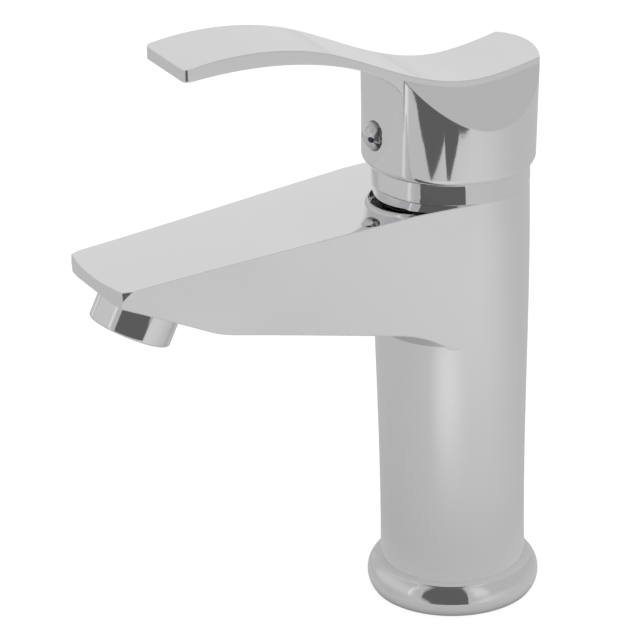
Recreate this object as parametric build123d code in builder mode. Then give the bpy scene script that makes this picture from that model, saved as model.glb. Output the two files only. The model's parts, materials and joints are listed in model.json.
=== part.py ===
import os
from math import cos, radians, sin, sqrt, tan

from build123d import *

# Frame: millimetres, origin on the deck at the column's axis, +Z up, spout along -Y
# A lip or wall adds to a radius, a drop counts down and a rise counts up from the column's top

# Column and base flange
column_foot_radius = 22.6
column_waist_radius = 22.65
column_waist_height = 45.0
column_shoulder_radius = 23.42
column_shoulder_height = 80.0
column_top_radius = 24.05
column_top_height = 137.2
flange_top_height = 10.4
flange_shoulder_lip = 2.8
flange_shoulder_height = 8.6
flange_bulge_lip = 4.2
flange_bulge_height = 4.4
flange_foot_lip = 2.75

# Spout, side view in Y and Z
spout_bend_y = -24.6
spout_tip_y = -121.4
spout_tip_drop = 5.85
spout_corner_setback = 2.0
spout_front_setback = 0.8
spout_knee_setback = 34.9
spout_knee_drop = 27.5
spout_knee_radius = 32.0
spout_slope = 26.5
spout_root_y = -30.0
spout_root_drop = 39.0
spout_heel_y = -12.5
spout_heel_drop = 46.9
spout_sweep_sag = 1.27
spout_side_reach = 40.0

# Spout, half widths of the drafted flanks at the top level and at the draft level
draft_margin = 2.3
flank_overrun = 2.6
flank_upper = [(23.95, -2.0), (22.7, -20.0), (21.4, -50.0), (19.75, -90.0)]
flank_upper_end = 19.8
flank_lower_start = (22.7, -3.6)
flank_lower_end = 4.3
spout_tip_half_width = 16.9
spout_facet_turn = 20.0
spout_facet_lean = 4.0

# Bores in the casting
cavity_radius = 18.5
block_spigot_length = 4.0
block_bore_inset = 1.9
foot_rim = 1.4
gasket_width = 3.0
gasket_groove_depth = 2.5
chamber_radius = 17.6
chamber_depth = 33.2
channel_wall = 2.6
channel_height = 4.6
nut_ledge = 2.4
nut_seat_drop = 0.2
duct_half_width = 8.0
duct_wall = 4.2
duct_start_y = -12.0
duct_floor_rise = 0.6
duct_mouth_height = 14.8
duct_roof_y = -42.0
duct_end_rear = 6.0
duct_end_front = 9.0
duct_end_height = 4.4

# Inlet block screwed into the casting, with the stud pillar and the inlet threads
block_length = 16.0
block_thread_gap = 0.05
block_groove_inset = 1.8
block_groove_height = 2.0
block_groove_depth = 1.0
block_chamfer = 0.8
pillar_radius = 7.0
pillar_y = 11.0
pillar_foot_height = 10.0
stud_hole_radius = 3.4
stud_hole_depth = 16.0
inlet_x = 5.8
inlet_y = -4.9
inlet_thread_radius = 4.55
inlet_thread_depth = 12.0
inlet_passage_radius = 2.6

# Aerator on the spout's nipple
aerator_setback = 15.8
nipple_radius = 10.8
nipple_length = 5.9
nipple_wall = 1.6
nipple_bore_depth = 4.0
aerator_wall = 1.8
aerator_seat_gap = 0.1
aerator_thread_gap = 0.1
aerator_lip = 2.2
aerator_lip_thickness = 1.2
aerator_lip_recess = 0.4
aerator_edge_radius = 0.7
aerator_gasket_thickness = 0.9
aerator_gasket_width = 2.1
insert_gap = 0.2
insert_flange_thickness = 0.95
insert_top_depth = 1.6
insert_wall = 1.8
insert_core_radius = 2.0
insert_spoke_width = 1.2
insert_spoke_count = 6
insert_spoke_height = 1.6
screen_gap = 0.1
screen_thickness = 0.6
screen_hole_radius = 0.7
screen_pitch = 2.2
screen_count = 5
piece_gap = 0.05

# Gasket in the foot
gasket_side_gap = 0.1
gasket_rise = 0.1
gasket_edge_chamfer = 0.6

# Cartridge stack, from the chamber's floor upwards
stack_gap = 0.02
housing_gap = 0.3
housing_wall = 1.6
housing_roof = 2.0
housing_neck_length = 10.4
housing_neck_bore = 12.0
housing_neck_wall = 1.8
housing_window_width = 11.0
housing_window_height = 9.0
housing_wall_bite = 1.0
ring_groove_depth = 0.8
ring_groove_rise = 14.4
ring_groove_height = 1.9
ring_edge_chamfer = 0.35
base_flange_height = 3.1
base_spigot_gap = 0.1
base_spigot_height = 2.5
base_chamfer = 0.4
outlet_port_y = 5.2
outlet_port_radius = 3.2
outlet_trough_length = 14.0
outlet_trough_depth = 3.0
seal_width = 1.5
seal_depth = 1.5
disc_seal_thickness = 1.2
disc_gap = 0.3
disc_notch_radius = 1.2
fixed_disc_thickness = 3.6
disc_half_travel = 2.15
disc_margin = 0.65
moving_disc_thickness = 3.2
pocket_y = 0.2
pocket_radius = 4.4
pocket_rear_y = 5.5
pocket_rear_radius = 3.4
pocket_depth = 1.6
disc_chamfer = 0.3
carrier_radius = 9.8
carrier_thickness = 4.2
carrier_rail_x = 7.2
carrier_rail_width = 2.0
carrier_rail_depth = 1.6
nut_thread_gap = 0.1
nut_neck_gap = 0.3
nut_top_gap = 0.08
nut_chamfer = 0.6
nut_spigot_wall = 2.9
nut_spigot_height = 3.8
nut_key_count = 12

# Rotor, spindle and pin
rotor_gap = 0.3
rotor_lift = 0.7
rotor_skirt = 1.0
rotor_flange_lip = 1.4
rotor_flange_thickness = 1.9
rotor_washer_thickness = 0.6
rotor_stand = 3.0
rotor_bore_radius = 8.4
rotor_bore_drop = 4.0
rotor_chamfer = 0.5
slot_gap = 0.3
slot_front_gap = 0.4
slot_rear_y = 7.7
limit_ring_thickness = 1.4
limit_ring_gap = 0.4
limit_notch_width = 3.0
limit_notch_depth = 0.7
pivot_drop = 7.6
pin_radius = 2.0
pin_inset = 1.2
pin_gap = 0.02
pin_running_gap = 0.05
pin_chamfer = 0.3
spindle_half_width = 4.0
spindle_grip = 9.6
spindle_eye_wall = 3.2
spindle_chamfer = 0.6
arm_half_depth = 2.2
nose_rise = 2.8
nose_radius = 2.6
nose_half_width = 2.5
nose_gap = 0.1

# Bonnet
bonnet_overhang = 0.15
bonnet_skirt_rise = 4.4
bonnet_wall = 1.8
bonnet_seat_gap = 0.05
bonnet_rise = 11.4
bonnet_web_thickness = 3.15
bonnet_web_gap = 0.2

# Handle base
handle_gap = 0.5
handle_low_lip = 2.3
handle_low_offset = -0.8
handle_low_rise = 0.8
handle_high_lip = 2.8
handle_high_offset = 0.5
handle_high_rise = 44.8
handle_rim_front_rise = 6.8
handle_rim_rear_rise = 5.5
handle_rim_margin = 3.15
handle_rim_radius = 2.5
handle_mouth_wall = 1.4
handle_mouth_rise = 11.3
front_flat_foot_y = -27.75
front_flat_foot_rise = 8.8
front_flat_lean = 6.97
boss_radius = 8.6
boss_lift = 5.8
socket_gap = 0.04
socket_headroom = 0.4

# Lever, side view of the top and the underside as Y and rise
lever_top = [(30.0, 39.4), (15.0, 36.2), (0.0, 35.15), (-20.0, 40.1), (-50.0, 53.3), (-80.0, 57.7),
             (-95.0, 56.3)]
lever_under = [(-95.0, 52.6), (-77.0, 53.15), (-50.0, 49.5), (-33.0, 43.1), (-26.3, 38.4), (-23.4, 34.3)]
lever_half_width = 12.95
lever_root_y = -10.0
lever_root_rise = 22.8
lever_tip_radius = 2.2
facet_band = 2.0
facet_drop = 0.70
facet_reach = 24.0
trim_rise = 67.8

# Index cap and screw
cap_lift = 8.2
cap_radius = 4.5
cap_gap = 0.06
cap_recess_depth = 2.2
cap_rim_stand = 0.4
cap_crown = 0.7
mark_radius = 0.75
mark_x = 2.6
mark_depth = 0.7
mark_gap = 0.03
mark_floor = 0.25
screw_radius = 2.4
screw_gap = 0.05
screw_length = 9.0
screw_chamfer = 0.4
screw_hex_radius = 1.25
screw_hex_sides = 6
screw_hex_depth = 3.0

# Spout positions
flange_foot_radius = column_foot_radius + flange_foot_lip
flange_bulge_radius = column_foot_radius + flange_bulge_lip
flange_shoulder_radius = column_foot_radius + flange_shoulder_lip
slope_rise = tan(radians(spout_slope))
facet_out = cos(radians(spout_facet_turn)) * cos(radians(spout_facet_lean))
facet_forward = sin(radians(spout_facet_turn)) * cos(radians(spout_facet_lean))
facet_up = sin(radians(spout_facet_lean))
spout_tip_height = column_top_height - spout_tip_drop
spout_tip_corner_y = spout_tip_y + spout_corner_setback
spout_front_y = spout_tip_y + spout_front_setback
spout_knee_y = spout_tip_y + spout_knee_setback
spout_knee_height = column_top_height - spout_knee_drop
spout_front_height = spout_knee_height + (spout_knee_y - spout_front_y) * slope_rise
spout_root_height = column_top_height - spout_root_drop
spout_heel_height = column_top_height - spout_heel_drop
draft_low_height = spout_heel_height - draft_margin
flank_end_y = spout_tip_y - flank_overrun
top_fall = spout_tip_drop / (spout_bend_y - spout_tip_y)
duct_roof_height = column_top_height - (spout_bend_y - duct_roof_y) * top_fall - duct_wall
aerator_y = spout_tip_y + aerator_setback
aerator_z = spout_knee_height + (spout_knee_y - aerator_y) * slope_rise
aerator_up = (0, sin(radians(spout_slope)), cos(radians(spout_slope)))
aerator_plane = Plane(origin=(0, aerator_y, aerator_z), x_dir=(1, 0, 0), z_dir=aerator_up)

# Aerator sizes
aerator_radius = nipple_radius + aerator_thread_gap + aerator_wall
nipple_bore_radius = nipple_radius - nipple_wall
aerator_lip_radius = nipple_radius - aerator_lip
aerator_gasket_inner = nipple_radius - aerator_gasket_width
insert_radius = aerator_lip_radius - insert_gap
insert_bore = insert_radius - insert_wall
screen_radius = insert_bore - screen_gap
insert_flange_top = nipple_length + aerator_gasket_thickness + 2 * piece_gap
insert_flange_foot = insert_flange_top + insert_flange_thickness
aerator_length = insert_flange_foot + piece_gap + aerator_lip_thickness

# Bores, block and gasket
chamber_floor = column_top_height - chamber_depth
channel_radius = chamber_radius + channel_wall
nut_bore_radius = chamber_radius + nut_ledge
block_seat_height = chamber_floor - block_spigot_length
block_foot_height = block_seat_height - block_length
block_bore_radius = cavity_radius - block_bore_inset
block_groove_radius = block_bore_radius - block_groove_inset
gasket_groove_outer = flange_foot_radius - foot_rim
gasket_groove_inner = gasket_groove_outer - gasket_width

# Cartridge radii
housing_radius = chamber_radius - housing_gap
housing_inner_radius = housing_radius - housing_wall
housing_neck_radius = housing_neck_bore + housing_neck_wall
ring_groove_radius = housing_radius - ring_groove_depth
base_spigot_radius = housing_inner_radius - base_spigot_gap
seal_outer_radius = inlet_passage_radius + seal_width
disc_radius = housing_inner_radius - disc_gap
moving_disc_radius = disc_radius - disc_half_travel - disc_margin
nut_radius = nut_bore_radius - nut_thread_gap
nut_inner_radius = housing_neck_radius + nut_neck_gap
nut_spigot_radius = nut_inner_radius + nut_spigot_wall
rotor_radius = housing_neck_bore - rotor_gap
rotor_flange_radius = housing_neck_bore + rotor_flange_lip
limit_ring_radius = housing_neck_radius - limit_ring_gap
pin_length = 2 * (rotor_radius - pin_inset)
spindle_eye_radius = pin_radius + spindle_eye_wall
slot_half_width = spindle_half_width + slot_gap
slot_front_y = -spindle_eye_radius - slot_front_gap

# Cartridge heights
disc_seal_foot = chamber_floor + base_flange_height + base_spigot_height + 2 * stack_gap
fixed_disc_foot = disc_seal_foot + disc_seal_thickness + stack_gap
moving_disc_foot = fixed_disc_foot + fixed_disc_thickness + stack_gap
carrier_foot = moving_disc_foot + moving_disc_thickness + stack_gap
rotor_foot_height = carrier_foot + carrier_thickness + rotor_lift
rotor_flange_height = rotor_foot_height + rotor_skirt
washer_foot_height = rotor_flange_height + rotor_flange_thickness + piece_gap
housing_foot_height = chamber_floor + base_flange_height + 2 * piece_gap
housing_ceiling_height = washer_foot_height + rotor_washer_thickness + piece_gap
housing_shoulder_height = housing_ceiling_height + housing_roof
housing_neck_height = housing_shoulder_height + housing_neck_length
ring_groove_foot = housing_foot_height + ring_groove_rise
nut_seat_height = housing_shoulder_height - nut_seat_drop
nut_foot_height = housing_shoulder_height + stack_gap
nut_height = column_top_height - nut_top_gap - nut_foot_height
rotor_top_height = housing_neck_height + rotor_stand
pivot_height = rotor_top_height - pivot_drop
rotor_bore_height = pivot_height - rotor_bore_drop
nose_height = carrier_foot + nose_rise

# Bonnet, concentric with the lever's pivot
bonnet_skirt_radius = column_top_radius + bonnet_overhang
bonnet_skirt_height = column_top_height + bonnet_skirt_rise
bonnet_radius = sqrt(bonnet_skirt_radius**2 + (bonnet_skirt_height - pivot_height)**2)
bonnet_foot_height = column_top_height + bonnet_seat_gap
bonnet_top_height = column_top_height + bonnet_rise
bonnet_web_height = bonnet_foot_height + bonnet_web_thickness
bonnet_web_radius = nut_spigot_radius + bonnet_web_gap
bonnet_dome_top = sqrt(bonnet_radius**2 - (bonnet_top_height - pivot_height)**2)
bonnet_inner_foot = sqrt((bonnet_radius - bonnet_wall)**2 - (bonnet_web_height - pivot_height)**2)
bonnet_inner_top = sqrt((bonnet_radius - bonnet_wall)**2 - (bonnet_top_height - pivot_height)**2)

# Handle, index cap and screw
handle_cavity_radius = bonnet_radius + handle_gap
handle_low_radius = column_top_radius + handle_low_lip
handle_high_radius = column_top_radius + handle_high_lip
handle_mouth_radius = handle_low_radius - handle_mouth_wall
handle_rim_reach = handle_high_radius + handle_rim_margin
handle_low_height = column_top_height + handle_low_rise
handle_high_height = column_top_height + handle_high_rise
handle_rim_front_height = column_top_height + handle_rim_front_rise
handle_rim_rear_height = column_top_height + handle_rim_rear_rise
lever_root_height = column_top_height + lever_root_rise
trim_height = column_top_height + trim_rise
boss_foot_height = rotor_top_height + boss_lift
spindle_top_height = boss_foot_height + spindle_grip
socket_half_width = spindle_half_width + socket_gap
socket_top_height = spindle_top_height + socket_headroom
flat_tilt = tan(radians(front_flat_lean))
cap_height = boss_foot_height + cap_lift
cap_face_y = front_flat_foot_y + (cap_height - column_top_height - front_flat_foot_rise) * flat_tilt
cap_plane = Plane(origin=(0, cap_face_y, cap_height), x_dir=(1, 0, 0), z_dir=(0, -1, flat_tilt))
cap_dome_radius = (cap_radius**2 + cap_crown**2) / (2 * cap_crown)
cap_floor = piece_gap - cap_recess_depth
screw_tip_y = spindle_half_width + piece_gap


# Front flat of the handle at a given height
def front_flat_y(height):
    return front_flat_foot_y + (height - column_top_height - front_flat_foot_rise) * flat_tilt


# Point in the side view, along and above the aerator's seat
def over_aerator(along, above):
    lean = radians(spout_slope)
    side_y = aerator_y + along * cos(lean) + above * sin(lean)
    side_z = aerator_z - along * sin(lean) + above * cos(lean)
    return side_y, side_z


# Outline from the column's top
def from_top(points, shift=0.0):
    return [(py, column_top_height + rise - shift) for py, rise in points]


os.makedirs("parts", exist_ok=True)

# Body casting: drafted spout, turned column, then its bores from below and above
with BuildPart() as body_casting:
    with BuildSketch(Plane.XY.offset(column_top_height)):
        with BuildLine():
            right_edge = Spline(*flank_upper, (flank_upper_end, flank_end_y))
            front_edge = Line(right_edge @ 1, (-flank_upper_end, flank_end_y))
            left_points = [(-px, py) for px, py in reversed(flank_upper)]
            left_edge = Spline((-flank_upper_end, flank_end_y), *left_points)
            Line(left_edge @ 1, right_edge @ 0)
        make_face()
    with BuildSketch(Plane.XY.offset(draft_low_height)):
        with BuildLine():
            Polyline(flank_lower_start, (flank_lower_end, flank_end_y), (-flank_lower_end, flank_end_y),
                     (-flank_lower_start[0], flank_lower_start[1]), close=True)
        make_face()
    loft(ruled=True)
    with BuildSketch(Plane.YZ):
        with BuildLine():
            Polyline((0, spout_heel_height), (0, column_top_height), (spout_bend_y, column_top_height),
                     (spout_tip_y, spout_tip_height), (spout_front_y, spout_front_height),
                     (spout_knee_y, spout_knee_height), (spout_root_y, spout_root_height))
            under = SagittaArc((spout_root_y, spout_root_height), (spout_heel_y, spout_heel_height),
                               spout_sweep_sag)
            Line(under @ 1, (0, spout_heel_height))
        make_face()
        fillet(vertices().sort_by_distance((spout_knee_y, spout_knee_height, 0))[0], radius=spout_knee_radius)
    extrude(amount=spout_side_reach, both=True, mode=Mode.INTERSECT)
    with BuildSketch(Plane.XY):
        with BuildLine():
            Polyline((spout_tip_half_width, spout_tip_corner_y), (spout_side_reach, spout_tip_corner_y),
                     (spout_side_reach, 0), (-spout_side_reach, 0), (-spout_side_reach, spout_tip_corner_y),
                     (-spout_tip_half_width, spout_tip_corner_y))
            ThreePointArc((-spout_tip_half_width, spout_tip_corner_y), (0, spout_tip_y),
                          (spout_tip_half_width, spout_tip_corner_y))
        make_face()
    extrude(amount=trim_height, mode=Mode.INTERSECT)
    for side in (1, -1):
        with BuildSketch(Plane(origin=(side * spout_tip_half_width, spout_tip_corner_y, spout_tip_height),
                               z_dir=(side * facet_out, -facet_forward, facet_up))):
            Rectangle(2 * spout_side_reach, 2 * spout_side_reach)
        extrude(amount=spout_side_reach, mode=Mode.SUBTRACT)
    with BuildSketch(Plane.XZ):
        with BuildLine():
            foot = Line((0, 0), (flange_foot_radius, 0))
            TangentArc((flange_bulge_radius, flange_bulge_height), foot @ 1, tangent=(0, -1))
            crown = TangentArc((flange_bulge_radius, flange_bulge_height),
                               (flange_shoulder_radius, flange_shoulder_height), tangent=(0, 1))
            cove = TangentArc(crown @ 1, (column_foot_radius, flange_top_height), tangent=crown % 1)
            wall = Spline(cove @ 1, (column_waist_radius, column_waist_height),
                          (column_shoulder_radius, column_shoulder_height),
                          (column_top_radius, column_top_height))
            Polyline(wall @ 1, (0, column_top_height), (0, 0))
        make_face()
    revolve(axis=Axis.Z)
    with BuildSketch(Plane.XY):
        Circle(cavity_radius)
    extrude(amount=block_seat_height, mode=Mode.SUBTRACT)
    with BuildSketch(Plane.XY.offset(block_seat_height)):
        Circle(block_bore_radius)
    extrude(amount=chamber_floor - block_seat_height, mode=Mode.SUBTRACT)
    with BuildSketch(Plane.XY):
        Circle(gasket_groove_outer)
        Circle(gasket_groove_inner, mode=Mode.SUBTRACT)
    extrude(amount=gasket_groove_depth, mode=Mode.SUBTRACT)
    with BuildSketch(Plane.XY.offset(chamber_floor)):
        Circle(chamber_radius)
    extrude(amount=column_top_height - chamber_floor, mode=Mode.SUBTRACT)
    with BuildSketch(Plane.XY.offset(chamber_floor)):
        Circle(channel_radius)
    extrude(amount=channel_height, mode=Mode.SUBTRACT)
    with BuildSketch(Plane.XY.offset(nut_seat_height)):
        Circle(nut_bore_radius)
    extrude(amount=column_top_height - nut_seat_height, mode=Mode.SUBTRACT)
    with BuildSketch(aerator_plane):
        Circle(nipple_radius)
    extrude(amount=-nipple_length)
    with BuildSketch(aerator_plane.offset(-nipple_length)):
        Circle(nipple_bore_radius)
    extrude(amount=nipple_length + nipple_bore_depth, mode=Mode.SUBTRACT)
    with BuildSketch(Plane.YZ):
        with BuildLine():
            Polyline((duct_start_y, chamber_floor + duct_floor_rise),
                     (spout_knee_y, spout_knee_height + duct_wall),
                     over_aerator(duct_end_rear, duct_end_height),
                     over_aerator(-duct_end_front, duct_end_height),
                     (duct_roof_y, duct_roof_height), (-chamber_radius, chamber_floor + duct_mouth_height),
                     (duct_start_y, chamber_floor + duct_mouth_height), close=True)
        make_face()
    extrude(amount=duct_half_width, both=True, mode=Mode.SUBTRACT)
body_casting.part.label = "body_casting"
export_step(body_casting.part, "parts/body_casting.step")

# Inlet block: threaded plug with a spigot, two inlets and the pillar for the fixing stud
with BuildPart() as inlet_block:
    with BuildSketch(Plane.XY.offset(block_foot_height)):
        Circle(cavity_radius - block_thread_gap)
    extrude(amount=block_seat_height - block_thread_gap - block_foot_height)
    chamfer(inlet_block.edges().filter_by(GeomType.CIRCLE), length=block_chamfer)
    with BuildSketch(Plane.XY.offset(block_foot_height + block_chamfer)):
        Circle(block_bore_radius - block_thread_gap)
    extrude(amount=chamber_floor - block_foot_height - block_chamfer)
    with BuildSketch(Plane.XY.offset(block_seat_height + block_groove_depth)):
        Circle(block_bore_radius)
        Circle(block_groove_radius, mode=Mode.SUBTRACT)
    extrude(amount=block_groove_height, mode=Mode.SUBTRACT)
    with BuildSketch(Plane.XY.offset(pillar_foot_height)):
        with Locations((0, pillar_y)):
            Circle(pillar_radius)
    extrude(amount=block_foot_height + block_chamfer - pillar_foot_height)
    with BuildSketch(Plane.XY.offset(pillar_foot_height)):
        with Locations((0, pillar_y)):
            Circle(stud_hole_radius)
    extrude(amount=stud_hole_depth, mode=Mode.SUBTRACT)
    with BuildSketch(Plane.XY.offset(block_foot_height)):
        with Locations((inlet_x, inlet_y), (-inlet_x, inlet_y)):
            Circle(inlet_thread_radius)
    extrude(amount=inlet_thread_depth, mode=Mode.SUBTRACT)
    with BuildSketch(Plane.XY.offset(block_foot_height)):
        with Locations((inlet_x, inlet_y), (-inlet_x, inlet_y)):
            Circle(inlet_passage_radius)
    extrude(amount=chamber_floor - block_foot_height, mode=Mode.SUBTRACT)
inlet_block.part.label = "inlet_block"
export_step(inlet_block.part, "parts/inlet_block.step")

# Rubber ring in the block's groove
with BuildPart() as block_o_ring:
    with BuildSketch(Plane.XY.offset(block_seat_height + block_groove_depth + piece_gap)):
        Circle(block_bore_radius - piece_gap)
        Circle(block_groove_radius + piece_gap, mode=Mode.SUBTRACT)
    extrude(amount=block_groove_height - 2 * piece_gap)
    chamfer(block_o_ring.edges().filter_by(GeomType.CIRCLE), length=ring_edge_chamfer)
block_o_ring.part.label = "block_o_ring"
export_step(block_o_ring.part, "parts/block_o_ring.step")

# Base gasket in the foot's groove
with BuildPart() as base_gasket:
    with BuildSketch(Plane.XY.offset(gasket_rise)):
        Circle(gasket_groove_outer - gasket_side_gap)
        Circle(gasket_groove_inner + gasket_side_gap, mode=Mode.SUBTRACT)
    extrude(amount=gasket_groove_depth - gasket_rise - piece_gap)
    chamfer(base_gasket.edges().filter_by(GeomType.CIRCLE), length=gasket_edge_chamfer)
base_gasket.part.label = "base_gasket"
export_step(base_gasket.part, "parts/base_gasket.step")

# Cartridge base with two inlet ports and an outlet that opens to the rear, into the ring channel
with BuildPart() as cartridge_base:
    with BuildSketch(Plane.XY.offset(chamber_floor + stack_gap)):
        Circle(housing_radius)
    extrude(amount=base_flange_height)
    with BuildSketch(Plane.XY.offset(chamber_floor + stack_gap + base_flange_height)):
        Circle(base_spigot_radius)
    extrude(amount=base_spigot_height)
    with BuildSketch(Plane.XY.offset(chamber_floor + stack_gap)):
        with Locations((inlet_x, inlet_y), (-inlet_x, inlet_y)):
            Circle(inlet_passage_radius)
        with Locations((0, outlet_port_y)):
            Circle(outlet_port_radius)
    extrude(amount=base_flange_height + base_spigot_height, mode=Mode.SUBTRACT)
    with BuildSketch(Plane.XY.offset(chamber_floor + stack_gap)):
        with Locations((inlet_x, inlet_y), (-inlet_x, inlet_y)):
            Circle(seal_outer_radius)
    extrude(amount=seal_depth, mode=Mode.SUBTRACT)
    with BuildSketch(Plane.XY.offset(chamber_floor + stack_gap)):
        with Locations((0, outlet_port_y + outlet_trough_length / 2)):
            Rectangle(2 * outlet_port_radius, outlet_trough_length)
    extrude(amount=outlet_trough_depth, mode=Mode.SUBTRACT)
    chamfer(cartridge_base.faces().sort_by(Axis.Z)[-1].outer_wire().edges(), length=base_chamfer)
cartridge_base.part.label = "cartridge_base"
export_step(cartridge_base.part, "parts/cartridge_base.step")

# Two rubber seals under the inlet ports
with BuildPart() as base_seals:
    with BuildSketch(Plane.XY.offset(chamber_floor + stack_gap)):
        with Locations((inlet_x, inlet_y), (-inlet_x, inlet_y)):
            Circle(seal_outer_radius - piece_gap)
        with Locations((inlet_x, inlet_y), (-inlet_x, inlet_y)):
            Circle(inlet_passage_radius, mode=Mode.SUBTRACT)
    extrude(amount=seal_depth - piece_gap)
base_seals.part.label = "base_seals"
export_step(base_seals.part, "parts/base_seals.step")

# Rubber plate between the base and the fixed disc
with BuildPart() as disc_seal:
    with BuildSketch(Plane.XY.offset(disc_seal_foot)):
        Circle(disc_radius)
        with Locations((inlet_x, inlet_y), (-inlet_x, inlet_y)):
            Circle(inlet_passage_radius, mode=Mode.SUBTRACT)
        with Locations((0, outlet_port_y)):
            Circle(outlet_port_radius, mode=Mode.SUBTRACT)
    extrude(amount=disc_seal_thickness)
disc_seal.part.label = "disc_seal"
export_step(disc_seal.part, "parts/disc_seal.step")

# Fixed ceramic disc with its three ports
with BuildPart() as fixed_disc:
    with BuildSketch(Plane.XY.offset(fixed_disc_foot)):
        Circle(disc_radius)
        with Locations((inlet_x, inlet_y), (-inlet_x, inlet_y)):
            Circle(inlet_passage_radius, mode=Mode.SUBTRACT)
        with Locations((0, outlet_port_y)):
            Circle(outlet_port_radius, mode=Mode.SUBTRACT)
        with Locations((disc_radius, 0), (-disc_radius, 0)):
            Circle(disc_notch_radius, mode=Mode.SUBTRACT)
    extrude(amount=fixed_disc_thickness)
fixed_disc.part.label = "fixed_disc"
export_step(fixed_disc.part, "parts/fixed_disc.step")

# Moving ceramic disc with the mixing pocket in its lower face
with BuildPart() as moving_disc:
    with BuildSketch(Plane.XY.offset(moving_disc_foot)):
        with Locations((0, disc_half_travel)):
            Circle(moving_disc_radius)
    extrude(amount=moving_disc_thickness)
    with BuildSketch(Plane.XY.offset(moving_disc_foot)):
        with Locations((0, pocket_y)):
            Circle(pocket_radius)
        with Locations((0, pocket_rear_y)):
            Circle(pocket_rear_radius)
    extrude(amount=pocket_depth, mode=Mode.SUBTRACT)
    chamfer(moving_disc.faces().sort_by(Axis.Z)[-1].outer_wire().edges(), length=disc_chamfer)
moving_disc.part.label = "moving_disc"
export_step(moving_disc.part, "parts/moving_disc.step")

# Plastic driver on the moving disc, slotted for the spindle's nose
with BuildPart() as disc_carrier:
    with BuildSketch(Plane.XY.offset(carrier_foot)):
        Circle(carrier_radius)
    extrude(amount=carrier_thickness)
    with BuildSketch(Plane.XY.offset(carrier_foot)):
        Rectangle(2 * (nose_half_width + nose_gap), 2 * (nose_radius + nose_gap))
    extrude(amount=carrier_thickness, mode=Mode.SUBTRACT)
    with BuildSketch(Plane.XY.offset(carrier_foot + carrier_thickness - carrier_rail_depth)):
        with Locations((carrier_rail_x, 0), (-carrier_rail_x, 0)):
            Rectangle(carrier_rail_width, 2 * carrier_radius)
    extrude(amount=carrier_rail_depth, mode=Mode.SUBTRACT)
disc_carrier.part.label = "disc_carrier"
export_step(disc_carrier.part, "parts/disc_carrier.step")

# Cartridge housing: plastic cup with a narrow neck and an outer ring groove
with BuildPart() as cartridge_housing:
    with BuildSketch(Plane.XZ):
        with BuildLine():
            Polyline((housing_inner_radius, housing_foot_height), (housing_radius, housing_foot_height),
                     (housing_radius, ring_groove_foot), (ring_groove_radius, ring_groove_foot),
                     (ring_groove_radius, ring_groove_foot + ring_groove_height),
                     (housing_radius, ring_groove_foot + ring_groove_height),
                     (housing_radius, housing_shoulder_height),
                     (housing_neck_radius, housing_shoulder_height),
                     (housing_neck_radius, housing_neck_height),
                     (housing_neck_bore, housing_neck_height),
                     (housing_neck_bore, housing_ceiling_height),
                     (housing_inner_radius, housing_ceiling_height), close=True)
        make_face()
    revolve(axis=Axis.Z)
    with BuildSketch(Plane.XY.offset(housing_foot_height)):
        with Locations((0, -housing_radius)):
            Rectangle(housing_window_width, 2 * (housing_radius - housing_inner_radius) + housing_wall_bite)
    extrude(amount=housing_window_height, mode=Mode.SUBTRACT)
cartridge_housing.part.label = "cartridge_housing"
export_step(cartridge_housing.part, "parts/cartridge_housing.step")

# Rubber ring round the housing
with BuildPart() as housing_o_ring:
    with BuildSketch(Plane.XY.offset(ring_groove_foot + piece_gap)):
        Circle(chamber_radius - piece_gap)
        Circle(ring_groove_radius + piece_gap, mode=Mode.SUBTRACT)
    extrude(amount=ring_groove_height - 2 * piece_gap)
    chamfer(housing_o_ring.edges().filter_by(GeomType.CIRCLE), length=ring_edge_chamfer)
housing_o_ring.part.label = "housing_o_ring"
export_step(housing_o_ring.part, "parts/housing_o_ring.step")

# Cartridge nut with a keyed spigot
with BuildPart() as cartridge_nut:
    with BuildSketch(Plane.XY.offset(nut_foot_height)):
        Circle(nut_radius)
    extrude(amount=nut_height)
    chamfer(cartridge_nut.faces().sort_by(Axis.Z)[0].edges(), length=nut_chamfer)
    with BuildSketch(Plane.XY.offset(nut_foot_height + nut_height)):
        RegularPolygon(nut_spigot_radius, nut_key_count)
    extrude(amount=nut_spigot_height)
    with BuildSketch(Plane.XY.offset(nut_foot_height)):
        Circle(nut_inner_radius)
    extrude(amount=nut_height + nut_spigot_height, mode=Mode.SUBTRACT)
cartridge_nut.part.label = "cartridge_nut"
export_step(cartridge_nut.part, "parts/cartridge_nut.step")

# Slip washer between rotor flange and housing
with BuildPart() as rotor_washer:
    with BuildSketch(Plane.XY.offset(washer_foot_height)):
        Circle(rotor_flange_radius)
        Circle(housing_neck_bore, mode=Mode.SUBTRACT)
    extrude(amount=rotor_washer_thickness)
rotor_washer.part.label = "rotor_washer"
export_step(rotor_washer.part, "parts/rotor_washer.step")

# Hot limit ring on the neck, notched for its stop
with BuildPart() as limit_ring:
    with BuildSketch(Plane.XY.offset(housing_neck_height + stack_gap)):
        Circle(limit_ring_radius)
        Circle(housing_neck_bore, mode=Mode.SUBTRACT)
        with Locations((0, limit_ring_radius)):
            Rectangle(limit_notch_width, 2 * limit_notch_depth, mode=Mode.SUBTRACT)
    extrude(amount=limit_ring_thickness)
limit_ring.part.label = "limit_ring"
export_step(limit_ring.part, "parts/limit_ring.step")

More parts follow.
